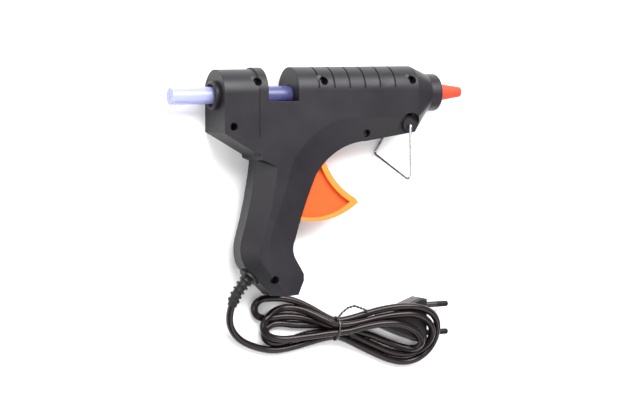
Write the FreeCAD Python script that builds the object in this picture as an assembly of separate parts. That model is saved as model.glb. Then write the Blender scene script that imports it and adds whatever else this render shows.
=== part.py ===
"""Hot glue gun lying on its left side, with its stick, wire stand, mains lead and plug.

Working axes while building: +X along the barrel to the nozzle, +Y to the top of the barrel,
+Z from the left side face (Z = 0, resting on the table) to the right side face.
The barrel axis is Y = 0 and the rear face of the body is X = 0.
Every gun piece is shifted at the end so that the origin is the bottom centre of the gun.
"""
import FreeCAD, Part
import math
import os

os.makedirs("parts", exist_ok=True)

V = FreeCAD.Vector

# ---------------------------------------------------------------- driving dimensions (mm)
body_width = 29.0            # across the two half shells
wall = 2.2                   # shell wall
side_depth = 11.5            # half width of the hollow behind the flat sides and slanted strips
barrel_top = 17.5            # top of the barrel above the barrel axis
rear_top = 16.4              # top of the rear block above the barrel axis
grip_bottom = -128.0         # bottom of the grip below the barrel axis
rear_block_end = 30.7        # front face of the rear block
barrel_start = 52.3          # rear face of the barrel
gap_floor = -4.0             # floor of the gap between rear block and barrel
nose_start = 140.0           # where the barrel starts to taper
nose_ring_start = 152.0      # where the taper meets the round nose ring
nose_ring_end = 160.2        # front face of the nose ring
nose_ring_r = 12.2
stick_r = 5.5                # glue stick, 11 mm class
stick_clearance = 0.35       # radial room round the stick in its guides
stick_tail = 31.0            # stick standing out behind the body
stick_length = 141.0
nozzle_tip = 179.5           # front end of the nozzle
nozzle_bore_r = 1.0
sleeve_base_r = 7.2          # silicone nozzle sleeve
sleeve_tip_r = 3.3
sleeve_wall = 1.3
pivot_x = 67.0               # trigger pivot
pivot_y = -29.0
pivot_pin_r = 2.0
pivot_clearance = 0.06       # running fit of the trigger on its pin
trigger_reach = 52.3         # pivot to the lower edge of the trigger
trigger_half_width = 7.5
trigger_web_half = 5.0
trigger_travel = 25.0        # degrees
slot_clearance = 0.5         # trigger to its slot, each side
stand_x = 134.6              # wire stand pivot
stand_y = -20.6
stand_wire_r = 0.9
stand_leg_offset = 13.1      # leg centre from the parting plane
near_leg = (-0.6, -36.4)     # end of the right leg from the pivot
far_leg = (-12.4, -19.6)     # end of the left leg from the pivot
screw_head_r = 2.4
screw_shank_r = 1.4
screw_clearance = 0.15
boss_r = 3.6
boss_half = 6.0              # boss height each side of the parting plane
chamber_start = 92.0         # aluminium melt chamber
chamber_end = 146.0
chamber_r = 8.2
heater_drop = 17.5           # bottom of the heater pocket below the axis
pin_r = 2.0                  # mains plug pins
pin_length = 19.0
pin_spacing = 18.6
plug_width = 30.0
plug_thickness = 13.7
plug_length = 33.0
cord_d = 4.6
relief_r = 4.3
relief_core_r = 3.0
groove_first = 66.4          # grooves across the barrel top
groove_pitch = 11.15
groove_count = 6
groove_depth = 0.8
groove_width = 1.0

mid = body_width / 2.0
front_edge_half = 9.5        # half width at the front and under edges
back_face_half = 5.2         # half width of the flat down the back of the grip
arch_y = barrel_top - mid    # centre height of the barrel's half-round top
rear_arch_y = rear_top - mid
carriage_half = 8.4
arm_inner = 8.8
arm_outer = 10.8
pin_half = 12.2               # half length of the trigger pin
feed_lever = -pivot_y        # pivot to stick axis
half_travel = math.radians(trigger_travel / 2.0)
trunnion_x = pivot_x - feed_lever * math.tan(half_travel)
origin_x = (nozzle_tip - stick_tail) / 2.0
origin_y = (barrel_top + grip_bottom) / 2.0

# screw places on the side face: x, y
screw_places = [(6.3, -19.4), (23.8, 8.6), (71.0, 8.6), (135.9, 8.6), (103.3, -25.6), (35.3, -117.2)]
scooped = screw_places[1:4]

# the mains lead leaves through the slanted lower corner of the grip
relief_seat = (24.2, -115.5)
clamp_centre = (33.6, -106.1)
clamp_reach = 5.2 / math.sqrt(2.0)
clamp_places = [(clamp_centre[0] + s * clamp_reach, clamp_centre[1] - s * clamp_reach) for s in (-1, 1)]

# The free cord is laid out in the shifted axes, so its points are where they lie on the table.
relief_bend = (14.6, -127.5, 13.2)
relief_end = (13.2, -134.0, 11.2)
cord_start = V(relief_end[0] - origin_x, relief_end[1] - origin_y, relief_end[2])
cord_route = [
    cord_start,
    V(-62.2, -84.1, 9.55),
    V(-60.0, -93.5, 6.2),
    V(-52.5, -102.0, 3.4),
    V(-41.0, -107.6, 2.6),
    V(-27.0, -110.2, 2.5),
    V(-12.0, -108.8, 2.5),
    V(2.0, -104.4, 4.4),
]
plug_face = 82.0
plug_y = -95.5


# ---------------------------------------------------------------- helpers
def face_of(points, z):
    """Closed outline at height z. Each item is a corner (x, y), or (through, corner) for an arc."""
    start = V(points[0][0], points[0][1], z)
    here = start
    edges = []
    for item in points[1:] + [points[0]]:
        if isinstance(item[0], tuple):
            through = V(item[0][0], item[0][1], z)
            there = V(item[1][0], item[1][1], z)
            edges.append(Part.Arc(here, through, there).toShape())
        else:
            there = V(item[0], item[1], z)
            edges.append(Part.LineSegment(here, there).toShape())
        here = there
    return Part.Wire(edges)


def slab(points, z_low, z_high):
    """Solid of an outline between two heights."""
    return Part.Face(face_of(points, z_low)).extrude(V(0, 0, z_high - z_low))


def box(x0, x1, y0, y1, z0, z1):
    """Axis-aligned box."""
    return Part.makeBox(x1 - x0, y1 - y0, z1 - z0, V(x0, y0, z0))


def rod(start, end, radius):
    """Round bar between two points."""
    step = V(*end).sub(V(*start))
    return Part.makeCylinder(radius, step.Length, V(*start), step)


def cone_x(x0, x1, r0, r1, y=0.0):
    """Cone or cylinder along X in the parting plane."""
    if abs(r0 - r1) < 1e-9:
        return Part.makeCylinder(r0, x1 - x0, V(x0, y, mid), V(1, 0, 0))
    return Part.makeCone(r0, r1, x1 - x0, V(x0, y, mid), V(1, 0, 0))


def fuse(shapes):
    """One clean solid from overlapping shapes."""
    whole = shapes[0]
    if len(shapes) > 1:
        whole = shapes[0].fuse(shapes[1:])
    return whole.removeSplitter()


def mirrored(shape):
    """Copy on the other side of the parting plane."""
    return shape.mirror(V(0, 0, mid), V(0, 0, 1))


def between(a, b, share):
    """Outline part way from outline a to outline b, or beyond it."""
    mixed = []
    for p, q in zip(a, b):
        if isinstance(p[0], tuple):
            mixed.append(tuple(between(p, q, share)))
        else:
            mixed.append((p[0] + (q[0] - p[0]) * share, p[1] + (q[1] - p[1]) * share))
    return mixed


def rounded_path(points, name):
    """Straight runs joined by arcs, each as large as its two runs allow."""
    edges = []
    radii = []
    here = points[0]
    for before, corner, after in zip(points, points[1:], points[2:]):
        into = corner.sub(before)
        out = after.sub(corner)
        turn = into.getAngle(out)
        reach = 0.45 * min(into.Length, out.Length)
        radii.append(reach / math.tan(turn / 2.0))
        into.normalize()
        out.normalize()
        start = corner.sub(into * reach)
        end = corner.add(out * reach)
        bisector = out.sub(into)
        bisector.normalize()
        sag = radii[-1] * (1.0 / math.cos(turn / 2.0) - 1.0)
        edges.append(Part.LineSegment(here, start).toShape())
        edges.append(Part.Arc(start, corner.add(bisector * sag), end).toShape())
        here = end
    edges.append(Part.LineSegment(here, points[-1]).toShape())
    wire = Part.Wire(edges)
    print(name, "radii", [round(r, 1) for r in radii], "length", round(wire.Length, 1))
    return wire


def tube(points, radius, name):
    """Solid round tube along a rounded path."""
    path = rounded_path(points, name)
    along = points[1].sub(points[0])
    section = Part.Wire([Part.Circle(points[0], along, radius).toShape()])
    solid = path.makePipeShell([section], True, False)
    print(name, "volume share", round(solid.Volume / (math.pi * radius ** 2 * path.Length), 4))
    return solid


def coil(start, axis, radius, wire_r, pitch, turns):
    """Coil spring standing on start along axis."""
    helix = Part.makeHelix(pitch, pitch * turns, radius)
    section = Part.Wire([Part.Circle(V(radius, 0, 0), V(0, 1, 0), wire_r).toShape()])
    spring = Part.Wire(helix.Edges).makePipeShell([section], True, True)
    spring.Placement = FreeCAD.Placement(V(*start), FreeCAD.Rotation(V(0, 0, 1), V(*axis)))
    return spring


# ---------------------------------------------------------------- outer form of the body
def side_outline():
    """Outline of the body seen from its side, up to the start of the nose."""
    return [
        (0.0, -23.5),
        (0.0, barrel_top),
        (rear_block_end, barrel_top),
        (rear_block_end, gap_floor),
        (barrel_start, gap_floor),
        (barrel_start, barrel_top),
        (nose_start, barrel_top),
        (nose_start, -25.4),
        (104.0, -30.5),
        ((82.5, -36.6), (67.0, -51.5)),
        ((58.6, -72.0), (52.0, -92.5)),
        ((50.6, -98.8), (52.4, -104.8)),
        (58.3, -114.6),
        (58.3, -119.0),
        (54.4, grip_bottom),
        (18.2 - 109.5 - grip_bottom, grip_bottom),
        (18.2, -109.5),
        ((15.3, -101.0), (15.8, -92.0)),
        ((22.3, -67.0), (26.6, -41.5)),
        (25.6, -38.2),
    ]


def front_bevel():
    """Cutter for the slanted strip along the under edge of the barrel and the front of the grip."""
    low = [
        (nose_start, -25.4),
        (104.0, -30.5),
        ((82.5, -36.6), (67.0, -51.5)),
        ((58.6, -72.0), (52.0, -92.5)),
        ((50.6, -98.8), (52.4, -104.8)),
        (58.3, -114.6),
        (58.3, -119.0),
        (54.4, grip_bottom),
        (54.4, -140.0),
        (150.0, -140.0),
        (150.0, -25.4),
    ]
    high = [
        (nose_start, -14.8),
        (94.0, -14.8),
        ((63.5, -25.4), (46.5, -45.5)),
        ((41.2, -65.0), (33.6, -84.5)),
        ((31.4, -97.0), (33.6, -108.0)),
        (38.2, -117.0),
        (39.6, -120.0),
        (43.0, grip_bottom),
        (52.0, -140.0),
        (150.0, -140.0),
        (150.0, -14.8),
    ]
    return bevel_solid(low, high, front_edge_half)


def back_bevel():
    """Cutter for the slanted panel down the back of the grip and along its lower corner."""
    low = [
        (22.0, -38.6),
        (26.4, -41.5),
        ((22.3, -67.0), (15.8, -92.0)),
        ((15.3, -101.0), (17.4, -110.0)),
        (37.4, -130.0),
        (-2.0, -130.0),
        (-2.0, -38.6),
    ]
    high = [
        (22.0, -38.6),
        (37.0, -45.5),
        ((33.4, -67.0), (25.6, -92.0)),
        ((24.2, -101.0), (26.6, -107.5)),
        (45.5, -130.0),
        (-2.0, -130.0),
        (-2.0, -38.6),
    ]
    return bevel_solid(low, high, back_face_half)


def bevel_solid(low, high, start_half):
    """Ruled cutter from outline low at start_half to outline high at the side face."""
    rise = mid - start_half
    under = -0.04
    over = 1.1
    wires = [face_of(between(low, high, s), mid + start_half + rise * s) for s in (under, over)]
    return Part.makeLoft(wires, True, True)


def nose():
    """Taper from the barrel's section to the round nose ring, and the ring itself."""
    def section(corners, top, x):
        points = [V(x, y, mid + z) for z, y in corners]
        edges = [Part.Arc(points[0], V(x, top, mid), points[-1]).toShape()]
        return points, edges

    points, edges = section(
        [(mid, arch_y), (mid, -14.8), (front_edge_half, -25.4),
         (-front_edge_half, -25.4), (-mid, -14.8), (-mid, arch_y)], barrel_top, nose_start)
    for a, b in zip(points[::-1], points[-2::-1]):
        edges.append(Part.LineSegment(a, b).toShape())
    barrel_wire = Part.Wire(edges)

    turns = [0.0, -40.0, -68.0, -112.0, -140.0, -180.0]
    ring = [(nose_ring_r * math.cos(math.radians(t)), nose_ring_r * math.sin(math.radians(t))) for t in turns]
    points, edges = section(ring, nose_ring_r, nose_ring_start)
    halves = [math.radians((s + t) / 2.0) for s, t in zip(turns[::-1], turns[-2::-1])]
    for a, b, h in zip(points[::-1], points[-2::-1], halves):
        through = V(nose_ring_start, nose_ring_r * math.sin(h), mid + nose_ring_r * math.cos(h))
        edges.append(Part.Arc(a, through, b).toShape())
    ring_wire = Part.Wire(edges)
    taper = Part.makeLoft([barrel_wire, ring_wire], True, True)
    ring_body = cone_x(nose_ring_start, nose_ring_end, nose_ring_r, nose_ring_r)
    front = [e for e in ring_body.Edges if abs(e.BoundBox.XMin - nose_ring_end) < 1e-6]
    ring_body = ring_body.makeFillet(1.6, front)
    return fuse([taper, ring_body])


def body_form():
    """The whole outer form, still solid."""
    block = slab(side_outline(), 0.0, body_width)
    lower = box(-1.0, 200.0, -140.0, rear_arch_y, -1.0, body_width + 1.0)
    shoulder = box(24.6, 200.0, -140.0, arch_y, -1.0, body_width + 1.0)
    rear_arch = Part.makeCylinder(mid, 60.0, V(-1.0, rear_arch_y, mid), V(1, 0, 0))
    barrel_arch = Part.makeCylinder(mid, 160.0, V(24.6, arch_y, mid), V(1, 0, 0))
    envelope = lower.fuse([shoulder, rear_arch, barrel_arch])
    form = block.common(envelope)
    cutters = []
    for cutter in (front_bevel(), back_bevel()):
        cutters.append(cutter)
        cutters.append(mirrored(cutter))
    form = form.cut(cutters)
    return fuse([form, nose()])


# ---------------------------------------------------------------- inside of the body
def cavities():
    """Hollows of the closed body, before bosses, ribs and supports are left standing."""
    deep = mid - wall
    core = 7.8
    side = [
        (2.4, -8.2), (2.4, -21.8), (26.0, -35.0), (36.6, -46.0), (33.2, -67.0), (25.6, -92.0),
        (25.6, -101.0), (31.5, -113.0), (38.0, -119.5), (44.0, -119.5), (44.5, -115.0),
        (38.6, -103.0), (38.0, -93.0), (45.0, -67.0), (49.5, -48.0), (56.5, -35.0),
        (66.0, -26.5), (80.0, -19.5), (94.0, -17.0), (137.5, -17.0), (137.5, -8.2),
    ]
    middle = [
        (31.7, -44.0), (27.6, -67.0), (20.8, -92.0), (20.6, -101.0), (21.9, -110.0), (36.0, -124.1),
        (38.0, -125.6), (52.4, -125.6), (55.8, -118.5), (55.8, -115.4), (49.8, -105.2),
        (48.2, -98.8), (49.6, -92.2), (56.2, -71.2), (64.9, -50.3), (73.0, -40.8), (82.0, -34.2),
        (104.0, -28.2), (137.5, -23.4), (137.5, -15.0), (60.0, -15.0),
    ]
    front = barrel_start + wall
    rear = rear_block_end - wall
    return [
        slab(side, mid - side_depth, mid + side_depth),
        slab(middle, mid - core, mid + core),
        box(2.4, rear, -8.3, rear_arch_y, mid - deep, mid + deep),
        cone_x(2.4, rear, deep, deep, rear_arch_y),
        box(front, 137.5, -8.3, arch_y, mid - deep, mid + deep),
        cone_x(front, 137.5, deep, deep, arch_y),
        cone_x(137.0, nose_ring_end - 2.4, 8.6, 8.6),
    ]


def stand_hub_cut():
    """Recess round the wire stand's hub on the right side, with the hub left standing in it."""
    recess = Part.makeCylinder(7.8, 10.0, V(stand_x, stand_y, mid + 9.6), V(0, 0, 1))
    hub = Part.makeCylinder(4.4, 2.1, V(stand_x, stand_y, mid + 9.6), V(0, 0, 1))
    socket = Part.makeCylinder(stand_wire_r + pivot_clearance, 6.0, V(stand_x, stand_y, mid + 6.8), V(0, 0, 1))
    return recess.cut(hub).fuse(socket)


def solid_supports():
    """Bosses, ribs and walls that stay inside the hollows."""
    kept = []
    for x, y in screw_places:
        kept.append(Part.makeCylinder(boss_r, body_width, V(x, y, 0.0)))
    kept.append(Part.makeCylinder(6.2, body_width, V(stand_x, stand_y, 0.0)))
    kept.append(box(93.0, 95.0, -9.0, barrel_top, 0.0, body_width))
    kept.append(box(131.5, 133.5, -12.0, barrel_top, 0.0, body_width))
    kept.append(Part.makeCylinder(4.0, mid - 9.2, V(pivot_x, pivot_y, mid + 9.2)))
    kept.append(box(57.0, 90.0, -3.0, 3.0, mid + carriage_half + 0.2, body_width))
    return kept


def clearances():
    """Bores and channels cut through the supports and walls."""
    trunnion_end = trunnion_x + 2.0 * (pivot_x - trunnion_x)
    guide_r = stick_r + stick_clearance + 1.15
    cuts = [
        cone_x(-1.0, rear_block_end + 1.0, guide_r + 0.05, guide_r + 0.05),
        cone_x(rear_block_end, chamber_start + 1.0, stick_r + 0.6, stick_r + 0.6),
        cone_x(88.0, 131.0, chamber_r + 0.05, chamber_r + 0.05),
        cone_x(130.9, 147.0, 6.65, 6.65),
        cone_x(157.0, nose_ring_end + 1.0, 6.9, 6.9),
        box(trunnion_x - 3.8, trunnion_end + 14.0, -11.0, 7.15, mid - 8.6, mid + 8.6),
        Part.makeCylinder(pivot_pin_r + 0.02, 2.0 * pin_half + 0.2, V(pivot_x, pivot_y, mid - pin_half - 0.1)),
        Part.makeCylinder(5.4, arm_outer + 9.3, V(pivot_x, pivot_y, mid - arm_outer - 0.3)),
        box(pivot_x - 5.4, pivot_x + 6.2, pivot_y, pivot_y + 12.0, mid - arm_outer - 0.3, mid),
        trigger_room(),
    ]
    for hub in (stand_hub_cut(), mirrored(stand_hub_cut())):
        cuts.append(hub)
    return cuts


def trigger_room():
    """Fan-shaped room that the trigger swings in, open to the front of the grip as its slot."""
    reach = trigger_reach + 0.9
    last = -106.6 - trigger_travel - 3.4
    angles = [math.radians(a) for a in (-49.0, (last - 49.0) / 2.0, last)]
    rim = [(pivot_x + reach * math.cos(a), pivot_y + reach * math.sin(a)) for a in angles]
    fan = [(pivot_x + 4.6, pivot_y + 2.0), rim[0], (rim[1], rim[2]), (pivot_x - 6.0, pivot_y + 2.0)]
    half = trigger_half_width + slot_clearance
    return slab(fan, mid - half, mid + half)


def surface_cuts():
    """Grooves across the barrel top, the step round the rear block, and the relief's hole."""
    cuts = []
    for i in range(groove_count):
        x = groove_first + groove_pitch * i
        ring = cone_x(x, x + groove_width, mid + 1.0, mid + 1.0, arch_y)
        inner = cone_x(x, x + groove_width, mid - groove_depth, mid - groove_depth, arch_y)
        below = box(x, x + groove_width, -40.0, arch_y + 0.8, -5.0, body_width + 5.0)
        cuts.append(ring.cut([inner, below]))
    for z in (-1.0, body_width - 0.4):
        cuts.append(box(24.1, 24.9, -27.0, arch_y + 1.0, z, z + 1.4))
    cuts.append(rod((relief_seat[0] + 4.0, relief_seat[1] + 4.0, mid),
                    (relief_seat[0] - 4.0, relief_seat[1] - 4.0, mid), relief_core_r + 0.05))
    return cuts


def right_screw_cuts():
    """Head recess, shank hole and driver scoop of each body screw."""
    cuts = []
    for x, y in screw_places:
        cuts.append(Part.makeCylinder(screw_head_r + screw_clearance, 20.0, V(x, y, mid + boss_half)))
        cuts.append(Part.makeCylinder(screw_shank_r + screw_clearance, 20.0, V(x, y, mid - 1.0)))
    for x, y in scooped:
        cuts.append(Part.makeCylinder(2.0, 10.0, V(x - 2.4, y + 2.2, mid + 10.9), V(-0.12, 0.28, 1.0)))
    return cuts


def left_screw_cuts():
    """Blind pilot hole of each body screw, and of the two cord clamp screws."""
    cuts = []
    for x, y in screw_places:
        cuts.append(Part.makeCylinder(screw_shank_r + 0.02, 12.0, V(x, y, mid - 8.5)))
    for x, y in clamp_places:
        cuts.append(Part.makeCylinder(1.02, 9.0, V(x, y, mid - 6.6)))
    return cuts


def housings():
    """The two half shells, split on the parting plane."""
    hollow = fuse(cavities())
    hollow = hollow.cut(solid_supports()).fuse(clearances())
    shell = body_form().cut(hollow).cut(surface_cuts())
    upper = box(-10.0, 190.0, -140.0, 30.0, mid, body_width + 5.0)
    lower = box(-10.0, 190.0, -140.0, 30.0, -5.0, mid)
    right = shell.common(upper).cut(right_screw_cuts())
    left = shell.common(lower)
    posts = [Part.makeCylinder(2.3, mid + cord_d / 2.0 - 1.4, V(x, y, 1.4)) for x, y in clamp_places]
    left = left.fuse(posts).cut(left_screw_cuts())
    return largest(right), largest(left)


def largest(shape):
    """The one solid that the piece is made of."""
    solids = sorted(shape.Solids, key=lambda s: s.Volume)
    print("solids", [round(s.Volume, 1) for s in solids])
    return solids[-1]


def body_screws():
    """Pan-head screws through the right shell into the left one."""
    screws = []
    for x, y in screw_places:
        shank = Part.makeCylinder(screw_shank_r, 14.3, V(x, y, mid + boss_half - 14.3))
        head = Part.makeCylinder(screw_head_r, 1.7, V(x, y, mid + boss_half))
        head = head.makeFillet(0.6, [e for e in head.Edges if e.BoundBox.ZMin > mid + boss_half + 1.0])
        cross = [box(x - 1.4, x + 1.4, y - 0.3, y + 0.3, mid + 7.0, mid + 9.0),
                 box(x - 0.3, x + 0.3, y - 1.4, y + 1.4, mid + 7.0, mid + 9.0)]
        screws.append(head.fuse(shank).cut(cross))
    return Part.makeCompound(screws)


# ---------------------------------------------------------------- glue path and heater
def glue_stick():
    return cone_x(-stick_tail, stick_length - stick_tail, stick_r, stick_r)


def inlet_guide():
    """Collar and tube that lead the stick through the rear block."""
    outer_r = stick_r + stick_clearance + 1.15
    collar = cone_x(-3.6, 0.0, 9.2, 9.2)
    collar = collar.makeFillet(1.5, [e for e in collar.Edges if abs(e.BoundBox.XMax + 3.6) < 1e-6])
    tube_part = cone_x(0.0, rear_block_end - 0.6, outer_r, outer_r)
    bore = stick_r + stick_clearance
    funnel = cone_x(-3.7, -1.2, bore + 1.6, bore)
    return collar.fuse(tube_part).cut([cone_x(-5.0, 40.0, bore, bore), funnel])


def inlet_seal():
    """Silicone ring round the stick in front of the hot chamber."""
    ring = cone_x(88.3, chamber_start - 0.05, 8.0, 8.0)
    return ring.cut(cone_x(80.0, 100.0, stick_r + 0.05, stick_r + 0.05))


def melt_chamber():
    """Die-cast chamber with the stick bore above and the heater pocket below."""
    neck_start = 130.0
    body = [
        cone_x(chamber_start, neck_start, chamber_r, chamber_r),
        cone_x(neck_start, chamber_end, 6.6, 6.6),
        box(96.0, 128.0, -heater_drop, -3.0, mid - 7.5, mid + 7.5),
    ]
    bore = stick_r + stick_clearance
    cuts = [
        cone_x(chamber_start - 1.0, 128.0, bore, bore),
        cone_x(128.0, 134.0, bore, 1.2),
        cone_x(133.9, 139.0, 1.2, 1.2),
        cone_x(138.0, chamber_end + 1.0, 3.05, 3.05),
        box(90.0, 130.0, -15.6, -9.8, mid - 6.0, mid + 6.0),
    ]
    return fuse(body).cut(cuts)


def heater_insulation():
    """Film sleeve round the heater stack."""
    outer = box(95.0, 128.5, -15.5, -9.9, mid - 5.9, mid + 5.9)
    return outer.cut(box(94.0, 130.0, -15.1, -10.3, mid - 5.5, mid + 5.5))


def heater_element():
    return box(98.0, 126.0, -14.4, -11.0, mid - 5.0, mid + 5.0)


def heater_electrodes():
    """Contact plates above and below the ceramic element, each with a tab at the rear."""
    plates = []
    for low, high, z in ((-11.0, -10.4, 3.2), (-15.0, -14.4, -3.2)):
        plate = box(96.0, 127.0, low, high, mid - 5.0, mid + 5.0)
        tab = box(91.9, 96.0, low, high, mid + z - 1.4, mid + z + 1.4)
        plates.append(fuse([plate, tab]))
    return Part.makeCompound(plates)


def nozzle_outer(x):
    """Radius of the nozzle cone at x."""
    start = 150.0
    return 4.7 + (1.9 - 4.7) * (x - start) / (nozzle_tip - start)


def nozzle():
    """Screwed-in nozzle with a hexagon and a long cone."""
    thread = cone_x(138.1, chamber_end, 3.0, 3.0)
    corners = [V(chamber_end, 6.0 * math.sin(a), mid + 6.0 * math.cos(a))
               for a in [math.radians(60 * i) for i in range(7)]]
    hexagon = Part.Face(Part.makePolygon(corners)).extrude(V(4.0, 0, 0))
    cone = cone_x(150.0, nozzle_tip, nozzle_outer(150.0), nozzle_outer(nozzle_tip))
    cuts = [cone_x(130.0, 190.0, nozzle_bore_r, nozzle_bore_r), cone_x(138.0, 147.0, 2.0, 2.0)]
    return fuse([thread, hexagon, cone]).cut(cuts)


def nozzle_sleeve():
    """Silicone cover over the nozzle cone."""
    start = 150.1
    gap = 0.03
    flange = cone_x(start, 152.6, 7.9, 7.9)
    cone = cone_x(152.6, nozzle_tip, sleeve_base_r, sleeve_tip_r)
    inner = cone_x(start - 0.1, nozzle_tip, nozzle_outer(start - 0.1) + gap, nozzle_outer(nozzle_tip) + gap)
    rim = [e for e in cone.Edges if abs(e.BoundBox.XMin - nozzle_tip) < 1e-6]
    return fuse([flange, cone.makeFillet(0.7, rim)]).cut(inner)


def valve_ball():
    return Part.makeSphere(1.6, V(139.1, 0, mid))


def valve_spring():
    return coil((141.0, 0.0, mid), (1, 0, 0), 1.5, 0.2, 1.1, 5)


# ---------------------------------------------------------------- trigger and feed
def on_arc(reach, angle):
    """Point at a reach and angle (degrees) from the trigger pivot."""
    a = math.radians(angle)
    return (pivot_x + reach * math.cos(a), pivot_y + reach * math.sin(a))


def trigger():
    """Finger lever with a raised rim, its hub, and the arm that drives the feed carriage."""
    inner_reach = trigger_reach - 2.5
    outline = [
        (71.2, -33.0), (74.2, -42.0), ((84.6, -58.2), (96.9, -67.3)), (99.0, -70.4),
        on_arc(trigger_reach, -54.2), (on_arc(trigger_reach, -80.0), on_arc(trigger_reach, -106.6)),
        (62.8, -33.0),
    ]
    recess = [
        (66.0, -40.0), (70.8, -43.6), ((81.6, -60.7), (93.0, -69.6)),
        (on_arc(inner_reach, -80.0), on_arc(inner_reach, -107.5)), (45.0, -70.0), (58.0, -38.0),
    ]
    half = trigger_half_width
    rim = slab(outline, mid - half, mid + half)
    for low, high in ((mid + trigger_web_half, mid + half + 1.0), (mid - half - 1.0, mid - trigger_web_half)):
        rim = rim.cut([slab(recess, low, high), box(50.0, 85.0, -37.0, -25.0, low, high)])
    hub = Part.makeCylinder(5.0, arm_outer + trigger_web_half, V(pivot_x, pivot_y, mid - arm_outer))
    spigot = Part.makeCylinder(3.1, 8.8 - trigger_web_half, V(pivot_x, pivot_y, mid + trigger_web_half))
    arm = box(pivot_x - 3.2, pivot_x + 3.2, pivot_y, 3.6, mid - arm_outer, mid - arm_inner)
    reach_low = feed_lever - 1.0
    reach_high = feed_lever / math.cos(half_travel) + 0.3
    slot = [box(pivot_x - 1.7, pivot_x + 1.7, pivot_y + reach_low, pivot_y + reach_high,
                mid - arm_outer - 1.0, mid)]
    for reach in (reach_low, reach_high):
        slot.append(Part.makeCylinder(1.7, mid, V(pivot_x, pivot_y + reach, mid - arm_outer - 1.0)))
    arm = arm.cut(slot)
    arm.rotate(V(pivot_x, pivot_y, 0), V(0, 0, 1), trigger_travel / 2.0)
    lever = fuse([rim, hub, spigot, arm])
    bore = pivot_pin_r + pivot_clearance
    return lever.cut(Part.makeCylinder(bore, 40.0, V(pivot_x, pivot_y, -5.0)))


def trigger_pin():
    return Part.makeCylinder(pivot_pin_r, 2.0 * pin_half, V(pivot_x, pivot_y, mid - pin_half))


def trigger_spring():
    """Torsion spring on the trigger's spigot."""
    return coil((pivot_x, pivot_y, mid + 5.7), (0, 0, 1), 4.2, 0.42, 0.95, 2.5)


def feed_carriage():
    """Block round the stick, driven forward by the trigger's arm."""
    rear = trunnion_x - 3.5
    block = box(rear, trunnion_x + 11.0, -10.5, 6.9, mid - carriage_half, mid + carriage_half)
    long_edges = [e for e in block.Edges if e.BoundBox.XLength > 10.0]
    block = block.makeChamfer(3.2, long_edges)
    pin = Part.makeCylinder(1.5, 3.2, V(trunnion_x, 0.0, mid - carriage_half - 2.8))
    bore = stick_r + 0.4
    return fuse([block, pin]).cut(cone_x(rear - 1.0, trunnion_x + 12.0, bore, bore))


def stick_gripper():
    """Spring-steel tooth on the carriage that bites the stick."""
    x = trunnion_x + 11.05
    tooth = [(x, -9.8), (x + 1.0, -9.8), (x + 2.4, -stick_r - 0.1), (x + 1.5, -stick_r - 0.1), (x, -8.6)]
    return slab(tooth, mid - 3.0, mid + 3.0)


# ---------------------------------------------------------------- stand, leads and cord
def wire_stand():
    """Bent wire: a pivot end in each hub, a leg each side and the bar between the feet."""
    right = mid + stand_leg_offset
    left = mid - stand_leg_offset
    points = [
        V(stand_x, stand_y, mid + 7.2),
        V(stand_x, stand_y, right),
        V(stand_x + near_leg[0], stand_y + near_leg[1], right),
        V(stand_x + far_leg[0], stand_y + far_leg[1], left),
        V(stand_x, stand_y, left),
        V(stand_x, stand_y, mid - 7.2),
    ]
    bends = [1.3, 1.8, 2.2, 1.3]
    edges = []
    here = points[0]
    for before, corner, after, bend in zip(points, points[1:], points[2:], bends):
        into = corner.sub(before)
        out = after.sub(corner)
        turn = into.getAngle(out)
        reach = bend * math.tan(turn / 2.0)
        into.normalize()
        out.normalize()
        bisector = out.sub(into)
        bisector.normalize()
        sag = bend * (1.0 / math.cos(turn / 2.0) - 1.0)
        start = corner.sub(into * reach)
        end = corner.add(out * reach)
        edges.append(Part.LineSegment(here, start).toShape())
        edges.append(Part.Arc(start, corner.add(bisector * sag), end).toShape())
        here = end
    edges.append(Part.LineSegment(here, points[-1]).toShape())
    section = Part.Wire([Part.Circle(points[0], V(0, 0, 1), stand_wire_r).toShape()])
    return Part.Wire(edges).makePipeShell([section], True, False)


def heater_leads():
    """Two insulated wires up the right side of the grip to the heater's tabs."""
    route = [(37.4, -80.0, 10.2), (41.4, -63.0, 10.3), (46.6, -46.5, 10.4), (55.5, -32.5, 10.4),
             (66.0, -22.6, 10.3), (78.0, -17.0, 9.8)]
    ends = [((35.9, -105.5, 0.0), (36.0, -97.0, 8.8), (86.5, -15.4, 3.0), (91.0, -14.7, -2.6)),
            ((34.2, -103.8, 0.0), (33.4, -95.0, 8.4), (86.0, -12.4, 6.0), (91.0, -10.8, 3.6))]
    leads = []
    for shift, (start, second, third, end) in zip((0.0, 1.9), ends):
        points = [start, second] + [(x - shift, y + shift, z) for x, y, z in route] + [third, end]
        leads.append(tube([V(x, y, mid + z) for x, y, z in points], 0.85, "heater lead"))
    return leads


def inner_cord():
    """End of the mains lead inside the grip, from the relief to the clamp."""
    start = (relief_seat[0] + 2.85, relief_seat[1] + 2.85, mid)
    return rod(start, (34.5, -105.2, mid), cord_d / 2.0)


def cord_clamp():
    """Bar across the cord, held by two screws."""
    bar = box(-7.6, 7.6, -2.2, 2.2, 0.0, 2.0)
    bar = bar.cut([Part.makeCylinder(1.2, 4.0, V(s * 5.2, 0, -1.0)) for s in (-1, 1)])
    bar.rotate(V(0, 0, 0), V(0, 0, 1), -45.0)
    bar.translate(V(clamp_centre[0], clamp_centre[1], mid + cord_d / 2.0 + 0.02))
    return bar


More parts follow.
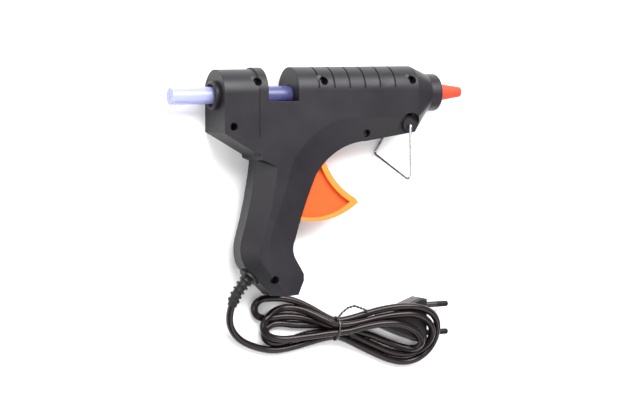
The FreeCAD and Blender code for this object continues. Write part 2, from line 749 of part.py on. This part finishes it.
def clamp_screws():
    """The two small screws of the cord clamp."""
    seat = mid + cord_d / 2.0 + 2.04
    screws = []
    for x, y in clamp_places:
        shank = Part.makeCylinder(1.0, 10.5, V(x, y, seat - 10.5))
        head = Part.makeCylinder(1.9, 1.4, V(x, y, seat))
        screws.append(head.fuse(shank).cut(box(x - 1.6, x + 1.6, y - 0.25, y + 0.25, seat + 0.8, seat + 2.0)))
    return Part.makeCompound(screws)


def strain_relief():
    """Flanged and ribbed rubber sleeve that bends down to the table."""
    corner = V(relief_seat[0], relief_seat[1], mid)
    out = V(-1, -1, 0).normalize()
    start = corner.sub(out * 4.0)
    path = [start, corner.add(out * 7.0), V(*relief_bend), V(*relief_end)]
    core = tube(path, relief_core_r, "relief")
    rings = [rod(tuple(corner.sub(out * 3.9)), tuple(corner.sub(out * 2.35)), 4.4),
             rod(tuple(corner.add(out * 0.05)), tuple(corner.add(out * 1.6)), 7.0)]
    wire = rounded_path(path, "relief ribs")
    for i in range(5):
        spot, along = point_on(wire, 7.6 + 3.6 * i)
        rings.append(Part.makeCylinder(relief_r - 0.12 * i, 1.3, spot, along))
    return fuse([core] + rings)


def point_on(wire, distance):
    """Point and direction at a distance along a wire."""
    left = distance
    for edge in wire.OrderedEdges:
        if left <= edge.Length:
            parameter = edge.getParameterByLength(left)
            return edge.valueAt(parameter), edge.tangentAt(parameter)
        left -= edge.Length
    return edge.valueAt(edge.LastParameter), edge.tangentAt(edge.LastParameter)


def cord_lead():
    """The stretch of cord from the relief to the hank."""
    return tube(cord_route, cord_d / 2.0, "cord lead")


def plug_outline(margin, back):
    """Flat plug seen from above, wider by margin except at its cord end."""
    half = plug_width / 2.0
    return [
        (back, plug_y - 4.0 - margin), (back, plug_y + 4.0 + margin),
        (plug_face - 19.0, plug_y + half * 0.66 + margin), (plug_face - 5.0, plug_y + half + margin),
        (plug_face + margin, plug_y + half - 1.0 + margin), (plug_face + margin, plug_y - half + 1.0 - margin),
        (plug_face - 5.0, plug_y - half - margin), (plug_face - 19.0, plug_y - half * 0.66 - margin),
    ]


def plug_body():
    body = slab(plug_outline(0.0, plug_face - plug_length), 0.1, plug_thickness)
    tops = [e for e in body.Edges if e.BoundBox.ZLength < 1e-6 and e.BoundBox.XMax > plug_face - 22.0]
    return body.makeFillet(1.5, tops)


def plug_pins():
    """The two round contact pins."""
    pins = []
    for side in (-1, 1):
        y = plug_y + side * pin_spacing / 2.0
        pin = Part.makeCylinder(pin_r, pin_length, V(plug_face, y, plug_thickness / 2.0), V(1, 0, 0))
        pins.append(pin.makeFillet(0.9, [e for e in pin.Edges if e.BoundBox.XMin > plug_face + pin_length - 0.1]))
    return Part.makeCompound(pins)


def cord_hank():
    """Outer shape of the tied hank: two loops either side of a narrow waist."""
    left = [
        (17.0, -93.5), (2.0, -86.0), ((-22.0, -76.4), (-40.0, -86.0)), ((-41.0, -97.0), (-30.0, -103.5)),
        (0.0, -105.0), (17.0, -105.0),
    ]
    right = [
        (15.0, -93.5), (30.0, -90.0), (50.0, -85.2), ((78.0, -84.0), (90.0, -101.0)),
        ((86.0, -123.0), (66.0, -126.0)), (42.0, -119.0), (28.0, -110.0), (15.0, -105.0),
    ]
    bridge = [(38.0, -88.5), (50.0, -85.2), ((78.0, -84.0), (90.0, -101.0)), (89.0, -116.0), (38.0, -117.0)]
    whole = fuse([slab(left, 0.0, 13.8), slab(right, 0.0, 14.0), slab(bridge, 12.0, 20.0)])
    pocket = slab(plug_outline(0.6, plug_face - plug_length), -1.0, plug_thickness + 0.6)
    pins = box(plug_face - 1.0, 100.0, plug_y - 13.0, plug_y + 13.0, -1.0, plug_thickness + 0.6)
    waist = box(13.6, 18.4, -120.0, -80.0, -1.0, 30.0).cut(box(13.0, 19.0, -104.9, -91.7, 1.3, 13.5))
    return largest(whole.cut([pocket, pins, waist, cord_lead()]))


def cable_tie():
    """Twist tie round the waist of the hank."""
    band = box(14.6, 17.4, -106.0, -90.6, 0.2, 14.6)
    return band.cut(box(10.0, 20.0, -105.1, -91.5, 1.1, 13.7))


# ---------------------------------------------------------------- write every piece
def main():
    right, left = housings()
    leads = heater_leads()
    gun = {
        "right_housing": right,
        "left_housing": left,
        "housing_screws": body_screws(),
        "glue_stick": glue_stick(),
        "stick_inlet_guide": inlet_guide(),
        "stick_seal": inlet_seal(),
        "melt_chamber": melt_chamber(),
        "heater_insulation": heater_insulation(),
        "ceramic_heater": heater_element(),
        "heater_electrodes": heater_electrodes(),
        "nozzle": nozzle(),
        "nozzle_sleeve": nozzle_sleeve(),
        "valve_ball": valve_ball(),
        "valve_spring": valve_spring(),
        "trigger": trigger(),
        "trigger_pin": trigger_pin(),
        "trigger_return_spring": trigger_spring(),
        "feed_carriage": feed_carriage(),
        "stick_gripper": stick_gripper(),
        "wire_stand": wire_stand(),
        "live_lead": leads[0],
        "neutral_lead": leads[1],
        "inner_cord": inner_cord(),
        "cord_clamp": cord_clamp(),
        "cord_clamp_screws": clamp_screws(),
        "strain_relief": strain_relief(),
    }
    for name, shape in gun.items():
        shape.translate(V(-origin_x, -origin_y, 0.0))
    loose = {
        "mains_cord": cord_lead(),
        "cord_hank": cord_hank(),
        "cable_tie": cable_tie(),
        "plug_body": plug_body(),
        "plug_pins": plug_pins(),
    }
    for name, shape in {**gun, **loose}.items():
        shape.exportStep("parts/" + name + ".step")
        reach = shape.BoundBox
        print(name, shape.isValid(), len(shape.Solids), round(shape.Volume, 1),
              [round(v, 1) for v in (reach.XMin, reach.XMax, reach.YMin, reach.YMax, reach.ZMin, reach.ZMax)])


main()
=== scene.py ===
"""Looks of the glue gun: materials, the mains lead with its tie and boot, floor, light and camera."""
import math
import bpy
import bmesh
from mathutils import Matrix, Vector


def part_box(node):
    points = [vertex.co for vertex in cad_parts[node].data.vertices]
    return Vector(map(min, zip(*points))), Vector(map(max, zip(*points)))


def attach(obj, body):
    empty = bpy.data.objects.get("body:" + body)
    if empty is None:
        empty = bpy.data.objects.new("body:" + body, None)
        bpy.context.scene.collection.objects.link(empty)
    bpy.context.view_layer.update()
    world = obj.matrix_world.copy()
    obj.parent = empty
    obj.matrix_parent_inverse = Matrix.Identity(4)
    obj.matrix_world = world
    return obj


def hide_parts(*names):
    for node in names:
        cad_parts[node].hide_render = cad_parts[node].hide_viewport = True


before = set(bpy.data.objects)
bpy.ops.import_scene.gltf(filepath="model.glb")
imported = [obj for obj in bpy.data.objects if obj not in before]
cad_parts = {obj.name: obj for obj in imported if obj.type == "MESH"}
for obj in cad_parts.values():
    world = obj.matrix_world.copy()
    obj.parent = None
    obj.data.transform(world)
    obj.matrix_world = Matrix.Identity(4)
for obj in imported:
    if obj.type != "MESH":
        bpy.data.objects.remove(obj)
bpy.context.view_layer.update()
MM = 0.001

# ---------------------------------------------------------------- camera
VIEW_BACK = Vector((-0.468, 0.070, 0.881)).normalized()
VIEW_UP = Vector((0.0327, 0.9976, -0.0616))
VIEW_DISTANCE = 1.6
VIEW_WIDTH = 0.4129          # width of the picture at the target
SENSOR = 36.0
TARGET = Vector((0.00064, -0.01316, 0.0145))


def add_camera():
    data = bpy.data.cameras.new("camera")
    data.sensor_width = SENSOR
    data.lens = SENSOR * VIEW_DISTANCE / VIEW_WIDTH
    data.clip_end = 20.0
    camera = bpy.data.objects.new("camera", data)
    bpy.context.scene.collection.objects.link(camera)
    right = VIEW_UP.cross(VIEW_BACK).normalized()
    up = VIEW_BACK.cross(right).normalized()
    turn = Matrix((right, up, VIEW_BACK)).transposed()
    camera.matrix_world = Matrix.Translation(TARGET + VIEW_BACK * VIEW_DISTANCE) @ turn.to_4x4()
    bpy.context.scene.camera = camera


add_camera()


# ---------------------------------------------------------------- node helpers
def new_material(name):
    material = bpy.data.materials.new(name)
    material.use_nodes = True
    tree = material.node_tree
    shader = next(n for n in tree.nodes if n.type == "BSDF_PRINCIPLED")
    return material, tree, shader


def noise(tree, scale, detail=4.0, rough=0.5):
    """Cloudy noise fixed to the piece."""
    coords = tree.nodes.new("ShaderNodeTexCoord")
    texture = tree.nodes.new("ShaderNodeTexNoise")
    texture.inputs["Scale"].default_value = scale
    texture.inputs["Detail"].default_value = detail
    texture.inputs["Roughness"].default_value = rough
    tree.links.new(coords.outputs["Object"], texture.inputs["Vector"])
    return texture.outputs["Fac"]


def ramp(tree, source, low, high, low_value, high_value):
    """Value that goes from low_value to high_value as source goes from low to high."""
    node = tree.nodes.new("ShaderNodeMapRange")
    node.inputs["From Min"].default_value = low
    node.inputs["From Max"].default_value = high
    node.inputs["To Min"].default_value = low_value
    node.inputs["To Max"].default_value = high_value
    tree.links.new(source, node.inputs["Value"])
    return node.outputs["Result"]


def from_cloud(tree, cloud, low_value, high_value):
    """Value that follows the middle of a noise, which seldom reaches 0 or 1."""
    return ramp(tree, cloud, 0.3, 0.7, low_value, high_value)


def tint(tree, source, dark, light):
    """Colour between two fixed ones."""
    node = tree.nodes.new("ShaderNodeMix")
    node.data_type = "RGBA"
    node.inputs["A"].default_value = (*dark, 1.0)
    node.inputs["B"].default_value = (*light, 1.0)
    tree.links.new(source, node.inputs["Factor"])
    return node.outputs["Result"]


def blend_colours(tree, factor, first, second):
    """Colour between two others that vary themselves."""
    node = tree.nodes.new("ShaderNodeMix")
    node.data_type = "RGBA"
    tree.links.new(factor, node.inputs["Factor"])
    tree.links.new(first, node.inputs["A"])
    tree.links.new(second, node.inputs["B"])
    return node.outputs["Result"]


def object_axis(tree, axis):
    """Place of a surface point along one axis of the frame, in metres."""
    coords = tree.nodes.new("ShaderNodeTexCoord")
    apart = tree.nodes.new("ShaderNodeSeparateXYZ")
    tree.links.new(coords.outputs["Object"], apart.inputs["Vector"])
    return apart.outputs[axis]


def distance_from(tree, value, place):
    """How far a value is from a fixed one, either way."""
    offset = tree.nodes.new("ShaderNodeMath")
    offset.operation = "SUBTRACT"
    offset.inputs[1].default_value = place
    tree.links.new(value, offset.inputs[0])
    size = tree.nodes.new("ShaderNodeMath")
    size.operation = "ABSOLUTE"
    tree.links.new(offset.outputs[0], size.inputs[0])
    return size.outputs[0]


def bump(tree, source, depth, strength, edge_radius=0.0):
    """Normal from a height, over edges rounded to edge_radius."""
    node = tree.nodes.new("ShaderNodeBump")
    node.inputs["Distance"].default_value = depth
    node.inputs["Strength"].default_value = strength
    tree.links.new(source, node.inputs["Height"])
    if edge_radius:
        bevel = tree.nodes.new("ShaderNodeBevel")
        bevel.samples = 4
        bevel.inputs["Radius"].default_value = edge_radius
        tree.links.new(bevel.outputs["Normal"], node.inputs["Normal"])
    return node.outputs["Normal"]


# ---------------------------------------------------------------- materials
CLOUD_SCALE = 38.0           # size of the faint clouds in moulded plastic
WHITE = (1.0, 1.0, 1.0)
WARM = (1.0, 0.88, 0.90)     # gloss of the cord and the plug


def moulded_surface(name, rough, grain=1400.0, edge=0.7 * MM, coat=0.0, specular=0.5, gloss_colour=WHITE):
    """Moulded plastic with no colour yet: fine grain, uneven gloss and soft edges."""
    material, tree, shader = new_material(name)
    cloud = noise(tree, CLOUD_SCALE, 5.0, 0.6)
    tree.links.new(from_cloud(tree, cloud, rough - 0.05, rough + 0.06), shader.inputs["Roughness"])
    shader.inputs["Specular IOR Level"].default_value = specular
    shader.inputs["Specular Tint"].default_value = (*gloss_colour, 1.0)
    shader.inputs["Coat Weight"].default_value = coat
    shader.inputs["Coat Roughness"].default_value = 0.2
    tree.links.new(bump(tree, noise(tree, grain, 2.0), 0.04 * MM, 0.35, edge), shader.inputs["Normal"])
    return material, tree, shader, cloud


def moulded(name, dark, light, rough, **surface):
    """Moulded plastic in one faintly cloudy colour."""
    material, tree, shader, cloud = moulded_surface(name, rough, **surface)
    tree.links.new(tint(tree, from_cloud(tree, cloud, 0.0, 1.0), dark, light), shader.inputs["Base Color"])
    return material


def trigger_plastic(name, middle, half_web):
    """Orange plastic, deeper orange in the thin web, with a painted highlight that makes it paler along the
    thick rims each side.
    """
    material, tree, shader, _ = moulded_surface(name, 0.46, edge=0.5 * MM, specular=0.35)
    cloud = noise(tree, CLOUD_SCALE)
    web = tint(tree, cloud, (0.54, 0.040, 0.006), (0.64, 0.062, 0.009))
    # painted highlight: paler orange for the rims, where light falls on them
    lit_rim_colour = tint(tree, cloud, (0.78, 0.16, 0.020), (0.86, 0.21, 0.030))
    off_middle = distance_from(tree, object_axis(tree, "Z"), middle)
    # painted highlight mask: rises along Z from the edge of the web out to the rims
    lit_rim_mask = ramp(tree, off_middle, half_web - 0.8 * MM, half_web + 2.2 * MM, 0.0, 1.0)
    tree.links.new(blend_colours(tree, lit_rim_mask, web, lit_rim_colour), shader.inputs["Base Color"])
    return material


def metal(name, dark, light, rough):
    """Metal with fine uneven polish."""
    material, tree, shader = new_material(name)
    polish = noise(tree, 260.0, 6.0, 0.7)
    tree.links.new(tint(tree, polish, dark, light), shader.inputs["Base Color"])
    tree.links.new(from_cloud(tree, polish, rough - 0.06, rough + 0.08), shader.inputs["Roughness"])
    shader.inputs["Metallic"].default_value = 1.0
    tree.links.new(bump(tree, polish, 0.03 * MM, 0.25), shader.inputs["Normal"])
    return material


def cloudy_glue(name, lit_end, shaded_start):
    """Milky hot-melt stick with painted light and shade: a whiter tail where it sticks out behind the body
    (painted highlight), and darker and bluer inside the body (painted shade).
    """
    material, tree, shader = new_material(name)
    cloud = noise(tree, 90.0, 4.0, 0.6)
    # painted highlight: the whiter colour of the tail that sticks out behind the body, as if strongly lit
    lit_tail_colour = tint(tree, cloud, (0.34, 0.36, 0.66), (0.46, 0.48, 0.76))
    # painted shade: the darker blue colour of the stick inside the body
    shaded_window_colour = tint(tree, cloud, (0.080, 0.083, 0.235), (0.125, 0.130, 0.32))
    # painted shade: along X, between the two given places, the colour fades from the lit tail to the shaded
    # part inside the body
    along = ramp(tree, object_axis(tree, "X"), lit_end, shaded_start, 0.0, 1.0)
    tree.links.new(blend_colours(tree, along, lit_tail_colour, shaded_window_colour), shader.inputs["Base Color"])
    tree.links.new(from_cloud(tree, cloud, 0.24, 0.36), shader.inputs["Roughness"])
    shader.inputs["Subsurface Weight"].default_value = 0.5
    shader.inputs["Subsurface Radius"].default_value = (4.0 * MM, 4.0 * MM, 5.0 * MM)
    shader.inputs["Subsurface Scale"].default_value = 1.0
    shader.inputs["Transmission Weight"].default_value = 0.4
    shader.inputs["IOR"].default_value = 1.46
    tree.links.new(bump(tree, cloud, 0.04 * MM, 0.3), shader.inputs["Normal"])
    return material


def pin_metal(name, sleeve_end):
    """Dark plated pin with a black insulating sleeve on the half next to the plug."""
    material, tree, shader = new_material(name)
    bare = ramp(tree, object_axis(tree, "X"), sleeve_end - 0.1 * MM, sleeve_end + 0.1 * MM, 0.0, 1.0)
    colour = tint(tree, bare, (0.008, 0.008, 0.009), (0.022, 0.020, 0.021))
    tree.links.new(colour, shader.inputs["Base Color"])
    tree.links.new(bare, shader.inputs["Metallic"])
    tree.links.new(from_cloud(tree, noise(tree, 300.0), 0.24, 0.36), shader.inputs["Roughness"])
    return material


TRIGGER_MIDDLE = 14.5 * MM
TRIGGER_HALF_WEB = 5.2 * MM
STICK_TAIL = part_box("glue_stick")[0][0]
PIN_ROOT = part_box("plug_pins")[0][0]

BODY = moulded("body_black", (0.0065, 0.0055, 0.0078), (0.0105, 0.0088, 0.0120), 0.44, specular=0.33)
# the trigger's rims get a painted highlight
TRIGGER = trigger_plastic("trigger_orange", TRIGGER_MIDDLE, TRIGGER_HALF_WEB)
SILICONE = moulded("sleeve_silicone", (0.56, 0.035, 0.016), (0.68, 0.055, 0.022), 0.55,
                   grain=900.0, specular=0.3)
# painted highlight on the stick's tail, fading to painted shade between 22 mm and 40 mm from the tail
GLUE = cloudy_glue("glue_milky", STICK_TAIL + 22.0 * MM, STICK_TAIL + 40.0 * MM)
STEEL = metal("steel_wire", (0.42, 0.42, 0.44), (0.66, 0.66, 0.68), 0.26)
DARK_STEEL = metal("screw_steel", (0.05, 0.05, 0.055), (0.12, 0.12, 0.13), 0.38)
ALUMINIUM = metal("cast_aluminium", (0.55, 0.55, 0.56), (0.74, 0.74, 0.75), 0.42)
BRASS = metal("turned_brass", (0.55, 0.38, 0.14), (0.80, 0.60, 0.28), 0.28)
CERAMIC = moulded("fired_ceramic", (0.30, 0.30, 0.32), (0.40, 0.40, 0.41), 0.75, edge=0.0)
FILM = moulded("amber_film", (0.40, 0.20, 0.03), (0.55, 0.30, 0.05), 0.25, edge=0.0)
SEAL = moulded("seal_white", (0.62, 0.62, 0.58), (0.72, 0.72, 0.68), 0.5, edge=0.0)
LIVE = moulded("wire_brown", (0.12, 0.045, 0.02), (0.17, 0.065, 0.03), 0.35, edge=0.0)
NEUTRAL = moulded("wire_blue", (0.02, 0.06, 0.26), (0.03, 0.09, 0.36), 0.35, edge=0.0)
CORD = moulded("cord_pvc", (0.0045, 0.0028, 0.0032), (0.0075, 0.0050, 0.0055), 0.22,
               grain=700.0, edge=0.0, specular=0.34, gloss_colour=WARM)
RELIEF = moulded("relief_rubber", (0.004, 0.004, 0.004), (0.007, 0.007, 0.007), 0.46,
                 edge=0.3 * MM, specular=0.35)
CARRIAGE = moulded("carriage_nylon", (0.018, 0.018, 0.020), (0.028, 0.028, 0.030), 0.5,
                   edge=0.3 * MM, specular=0.35)
PLUG = moulded("plug_black", (0.006, 0.0055, 0.0065), (0.010, 0.009, 0.0105), 0.36,
               edge=0.6 * MM, specular=0.38, gloss_colour=WARM)
TIE = moulded("tie_black", (0.012, 0.012, 0.013), (0.03, 0.03, 0.032), 0.2, edge=0.0, coat=0.6)
PIN = pin_metal("plug_pin", PIN_ROOT + 10.0 * MM)

NODE_LOOKS = {
    "right_housing": BODY, "left_housing": BODY, "stick_inlet_guide": BODY, "cord_clamp": BODY,
    "housing_screws": DARK_STEEL, "glue_stick": GLUE, "stick_seal": SEAL, "melt_chamber": ALUMINIUM,
    "heater_insulation": FILM, "ceramic_heater": CERAMIC, "heater_electrodes": BRASS, "nozzle": BRASS,
    "nozzle_sleeve": SILICONE, "valve_ball": STEEL, "valve_spring": STEEL, "trigger": TRIGGER,
    "trigger_pin": STEEL, "trigger_return_spring": STEEL, "feed_carriage": CARRIAGE, "stick_gripper": STEEL,
    "wire_stand": STEEL, "live_lead": LIVE, "neutral_lead": NEUTRAL, "inner_cord": CORD,
    "cord_clamp_screws": STEEL, "strain_relief": RELIEF, "plug_body": PLUG, "plug_pins": PIN,
}
for node, material in NODE_LOOKS.items():
    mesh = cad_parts[node].data
    mesh.materials.clear()
    mesh.materials.append(material)


# ---------------------------------------------------------------- mains lead
# Points in mm, in order from the strain relief to the plug. Each list is one pass over the table:
# to the tied waist, then round the loops to its right and left by turns.
LEAD_DIAMETER = 4.6 * MM
LEAD_EXIT = (-61.05, -78.75, 11.2)
TO_WAIST = [
    LEAD_EXIT, (-62.2, -84.1, 9.55), (-60.0, -93.5, 6.2), (-52.5, -102.0, 3.4), (-41.0, -107.6, 2.6),
    (-27.0, -111.0, 2.5), (-12.0, -109.2, 2.5), (2.0, -105.4, 4.6), (16.0, -102.8, 6.5),
]
OUTER_RIGHT = [
    (24.0, -105.6, 5.4), (34.0, -110.4, 3.2), (46.0, -116.2, 2.5), (58.0, -121.6, 2.5), (70.0, -124.6, 2.5),
    (81.0, -122.8, 2.6), (88.0, -116.0, 6.5), (90.0, -106.0, 12.0), (88.0, -95.5, 16.2), (81.0, -88.6, 17.0),
    (70.0, -85.4, 17.0), (58.0, -85.2, 15.6), (47.0, -87.0, 11.6), (36.0, -90.0, 8.4), (26.0, -92.6, 7.0),
    (16.0, -93.6, 6.5),
]
TOP_LEFT = [
    (8.0, -89.6, 5.8), (-1.0, -84.0, 4.4), (-10.0, -79.6, 3.2), (-19.0, -77.0, 2.6), (-28.0, -76.4, 2.5),
    (-36.5, -76.6, 2.5), (-41.6, -81.0, 2.5), (-40.0, -87.6, 2.5), (-32.5, -89.8, 2.5), (-22.0, -88.6, 2.5),
    (-9.0, -89.6, 2.8), (3.0, -93.0, 6.0), (10.0, -96.2, 6.6), (16.0, -98.2, 6.5),
]
MIDDLE_RIGHT = [
    (26.0, -101.0, 7.1), (36.0, -106.6, 4.0), (48.0, -112.0, 2.6), (60.0, -117.2, 2.5), (71.0, -119.2, 2.6),
    (80.0, -117.4, 4.6), (84.8, -110.5, 11.5), (84.8, -102.0, 16.4), (79.5, -94.6, 17.0), (70.5, -90.6, 17.0),
    (59.0, -90.2, 16.4), (47.0, -91.8, 13.4), (36.0, -94.0, 11.3), (26.0, -95.6, 10.6), (16.0, -95.9, 10.5),
]
MIDDLE_LEFT = [
    (8.0, -92.8, 10.2), (0.0, -88.2, 7.6), (-9.0, -84.2, 4.6), (-19.0, -82.8, 3.2), (-27.5, -84.2, 5.0),
    (-34.6, -88.6, 7.3), (-37.6, -94.6, 6.8), (-33.5, -100.8, 7.0), (-23.0, -103.4, 7.1),
    (-11.0, -102.6, 7.3), (1.0, -101.8, 8.4), (9.0, -100.8, 10.0), (16.0, -100.5, 10.5),
]
INNER_RIGHT = [
    (24.0, -99.8, 12.0), (34.0, -97.2, 14.9), (45.0, -95.6, 16.9), (56.0, -95.8, 17.4), (66.0, -98.6, 17.3),
    (73.6, -103.6, 17.0), (77.0, -109.8, 16.2), (75.0, -115.2, 9.4), (67.0, -114.0, 4.6), (56.0, -109.6, 2.6),
    (44.0, -104.4, 2.5), (31.0, -101.0, 2.5), (16.0, -100.5, 2.5),
]
LOW_LEFT = [
    (6.0, -100.6, 2.5), (-6.0, -101.8, 2.5), (-15.0, -104.4, 2.5), (-24.0, -106.4, 2.5), (-32.4, -104.6, 2.5),
    (-34.6, -98.0, 2.5), (-29.0, -93.2, 2.5), (-21.0, -93.2, 2.5), (-13.0, -94.8, 2.5), (-4.0, -95.2, 2.5),
    (6.0, -95.9, 2.5), (16.0, -95.9, 2.5),
]
TO_PLUG = [(26.0, -96.0, 2.6), (36.0, -96.2, 4.4), (44.0, -95.6, 6.4), (49.6, -95.5, 6.85)]
LEAD_ROUTE = (TO_WAIST + OUTER_RIGHT + TOP_LEFT + MIDDLE_RIGHT + MIDDLE_LEFT + INNER_RIGHT + LOW_LEFT
              + TO_PLUG)


def smooth_curve(name, route, radius, material):
    """Round cord along one smooth open curve, route in mm."""
    data = bpy.data.curves.new(name, "CURVE")
    data.dimensions = "3D"
    data.bevel_depth = radius
    data.bevel_resolution = 6
    data.use_fill_caps = True
    spline = data.splines.new("NURBS")
    spline.points.add(len(route) - 1)
    for point, spot in zip(spline.points, route):
        point.co = (spot[0] * MM, spot[1] * MM, spot[2] * MM, 1.0)
    spline.order_u = 3
    spline.use_endpoint_u = True
    spline.resolution_u = 8
    data.materials.append(material)
    piece = bpy.data.objects.new(name, data)
    bpy.context.scene.collection.objects.link(piece)
    return piece


lead = smooth_curve("mains_lead", LEAD_ROUTE, LEAD_DIAMETER / 2.0, CORD)
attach(lead, "gun")
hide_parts("mains_cord", "cord_hank")


# ---------------------------------------------------------------- twist tie
RING_CENTRE = (16.0, -98.2, 6.9)     # middle of the strands at the waist, mm
RING_HALF = (0.5, 7.7, 6.7)          # lean, half width and half height of the ring
RING_STEPS = 28
RING_OVERLAP = 3                     # steps by which the ring's ends pass each other
TAIL_LINE = [
    (15.8, -91.2, 10.6), (18.0, -87.6, 12.2), (22.5, -84.6, 12.0),
    (28.0, -83.6, 10.8), (33.0, -85.4, 10.6), (37.0, -87.2, 12.6),
]
TAIL_STEPS = 40
TAIL_STEPS_PER_TWIST = 8.0
TAIL_OFFSET = 0.45                   # from the middle of the twisted pair to each wire
RING_WIRE_R = 0.6 * MM
TAIL_WIRE_R = 0.5 * MM


def tie_ring():
    """Oval of wire drawn tight round the strands at the waist."""
    spots = []
    for i in range(RING_STEPS + RING_OVERLAP):
        turn = 2.0 * math.pi * i / RING_STEPS
        spots.append((
            RING_CENTRE[0] + RING_HALF[0] * math.cos(turn),
            RING_CENTRE[1] + RING_HALF[1] * math.cos(turn),
            RING_CENTRE[2] + RING_HALF[2] * math.sin(turn),
        ))
    return spots


def tie_tail(side):
    """One wire of the twisted tail, which stands off the bundle and bends back to it."""
    spots = []
    for i in range(TAIL_STEPS + 1):
        at = i * (len(TAIL_LINE) - 1) / TAIL_STEPS
        k = min(int(at), len(TAIL_LINE) - 2)
        spot = Vector(TAIL_LINE[k]).lerp(Vector(TAIL_LINE[k + 1]), at - k)
        turn = 2.0 * math.pi * i / TAIL_STEPS_PER_TWIST + side * math.pi
        spots.append(spot + Vector((0.0, math.cos(turn), math.sin(turn))) * TAIL_OFFSET)
    return spots


ring = smooth_curve("tie_ring", tie_ring(), RING_WIRE_R, TIE)
tails = [
    smooth_curve("tie_tail_a", tie_tail(0), TAIL_WIRE_R, TIE),
    smooth_curve("tie_tail_b", tie_tail(1), TAIL_WIRE_R, TIE),
]
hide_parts("cable_tie")
for piece in [ring] + tails:
    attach(piece, "gun")


# ---------------------------------------------------------------- plug boot
BOOT_START = 38.5            # narrow end, mm along X
BOOT_END = 50.5              # inside the plug
BOOT_SIDES = 32
RIB_COUNT = 4
RIB_PITCH = 2.4
PLUG_AXIS_Y = -95.5
PLUG_AXIS_Z = 6.85
LEVEL_FROM = 49.0            # from here to the plug the boot runs level
LEVEL_RUN = 10.5             # over which it comes up by 1 mm


def boot_profile():
    """Distance along X and radius of each ring of the boot, in mm."""
    profile = [(BOOT_START, 2.45)]
    for i in range(RIB_COUNT):
        x = BOOT_START + 0.5 + RIB_PITCH * i
        ridge = 3.1 + 0.3 * i
        groove = 2.75 + 0.25 * i
        profile += [(x, ridge), (x + 1.3, ridge + 0.05), (x + 1.5, groove), (x + 2.2, groove + 0.05)]
    profile += [(BOOT_END - 1.6, 4.3), (BOOT_END, 4.4)]
    return profile


def plug_boot():
    """Ribbed sleeve where the lead enters the plug."""
    shape = bmesh.new()
    rows = []
    for x, r in boot_profile():
        middle_z = PLUG_AXIS_Z - max(0.0, (LEVEL_FROM - x) / LEVEL_RUN)
        row = []
        for i in range(BOOT_SIDES):
            turn = 2.0 * math.pi * i / BOOT_SIDES
            y = PLUG_AXIS_Y + r * math.cos(turn)
            z = middle_z + r * math.sin(turn)
            row.append(shape.verts.new((x * MM, y * MM, z * MM)))
        rows.append(row)
    for a, b in zip(rows, rows[1:]):
        for i in range(BOOT_SIDES):
            j = (i + 1) % BOOT_SIDES
            shape.faces.new((a[i], b[i], b[j], a[j]))
    shape.faces.new(rows[0])
    shape.faces.new(rows[-1][::-1])
    bmesh.ops.recalc_face_normals(shape, faces=shape.faces)
    mesh = bpy.data.meshes.new("plug_boot")
    shape.to_mesh(mesh)
    shape.free()
    mesh.materials.append(PLUG)
    mesh.polygons.foreach_set("use_smooth", [True] * len(mesh.polygons))
    mesh.set_sharp_from_angle(angle=math.radians(40))
    piece = bpy.data.objects.new("plug_boot", mesh)
    bpy.context.scene.collection.objects.link(piece)
    return piece


boot = plug_boot()
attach(boot, "gun")


# ---------------------------------------------------------------- floor and light
FLOOR_HALF = 3.0
WORLD_STRENGTH = 0.5


def add_floor():
    mesh = bpy.data.meshes.new("floor")
    corners = [
        (-FLOOR_HALF, -FLOOR_HALF, 0), (FLOOR_HALF, -FLOOR_HALF, 0),
        (FLOOR_HALF, FLOOR_HALF, 0), (-FLOOR_HALF, FLOOR_HALF, 0),
    ]
    mesh.from_pydata(corners, [], [(0, 1, 2, 3)])
    material, _, shader = new_material("floor_white")
    shader.inputs["Base Color"].default_value = (0.93, 0.93, 0.93, 1.0)
    shader.inputs["Roughness"].default_value = 0.9
    mesh.materials.append(material)
    floor = bpy.data.objects.new("floor", mesh)
    bpy.context.scene.collection.objects.link(floor)


def add_light(name, spot, size, power):
    """Rectangular softbox that faces the object."""
    data = bpy.data.lights.new(name, "AREA")
    data.shape = "RECTANGLE"
    data.size = size[0]
    data.size_y = size[1]
    data.energy = power
    light = bpy.data.objects.new(name, data)
    bpy.context.scene.collection.objects.link(light)
    light.location = spot
    light.rotation_euler = (-Vector(spot)).to_track_quat("-Z", "Y").to_euler()


add_floor()
add_light("top_softbox", (0.12, 0.74, 0.9), (1.3, 0.7), 36.0)
add_light("left_softbox", (-0.85, -0.05, 0.8), (0.6, 0.9), 6.0)
add_light("front_fill", (0.5, -0.9, 1.0), (0.9, 0.9), 6.0)
world = bpy.data.worlds.new("studio")
world.use_nodes = True
backdrop = world.node_tree.nodes["Background"]
backdrop.inputs["Color"].default_value = (*WHITE, 1.0)
backdrop.inputs["Strength"].default_value = WORLD_STRENGTH
bpy.context.scene.world = world
bpy.context.scene.view_settings.view_transform = "Standard"
